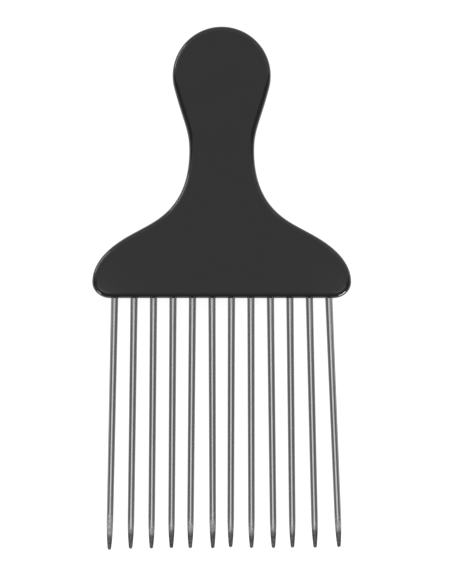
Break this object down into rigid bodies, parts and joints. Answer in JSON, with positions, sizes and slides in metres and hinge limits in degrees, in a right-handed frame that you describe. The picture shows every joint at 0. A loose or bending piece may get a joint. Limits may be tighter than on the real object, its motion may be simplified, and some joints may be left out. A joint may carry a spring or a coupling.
{
  "type": "metal-pin lifting comb",
  "caption": "Flat black moulded handle with a round head, waisted neck and wide bar that holds one row of long, straight, pointed steel pins for lifting and combing curly hair.",
  "frame": {"origin": "under the middle of the whole comb's length and width, on the surface that its back face lies on", "axes": "+X across the row of pins, +Y from the points of the pins to the head of the handle, +Z out of the front face"},
  "size_m": [0.0864, 0.1744, 0.01],
  "materials": {
    "black_plastic": "black injection-moulded plastic with a smooth, evenly polished surface",
    "pin_steel": "drawn and polished steel wire with a ground point"
  },
  "bodies": {
    "root": {"handle": "black_plastic", "pin_01": "pin_steel", "pin_02": "pin_steel", "pin_03": "pin_steel", "pin_04": "pin_steel", "pin_05": "pin_steel", "pin_06": "pin_steel", "pin_07": "pin_steel", "pin_08": "pin_steel", "pin_09": "pin_steel", "pin_10": "pin_steel", "pin_11": "pin_steel", "pin_12": "pin_steel"}
  },
  "joints": []
}
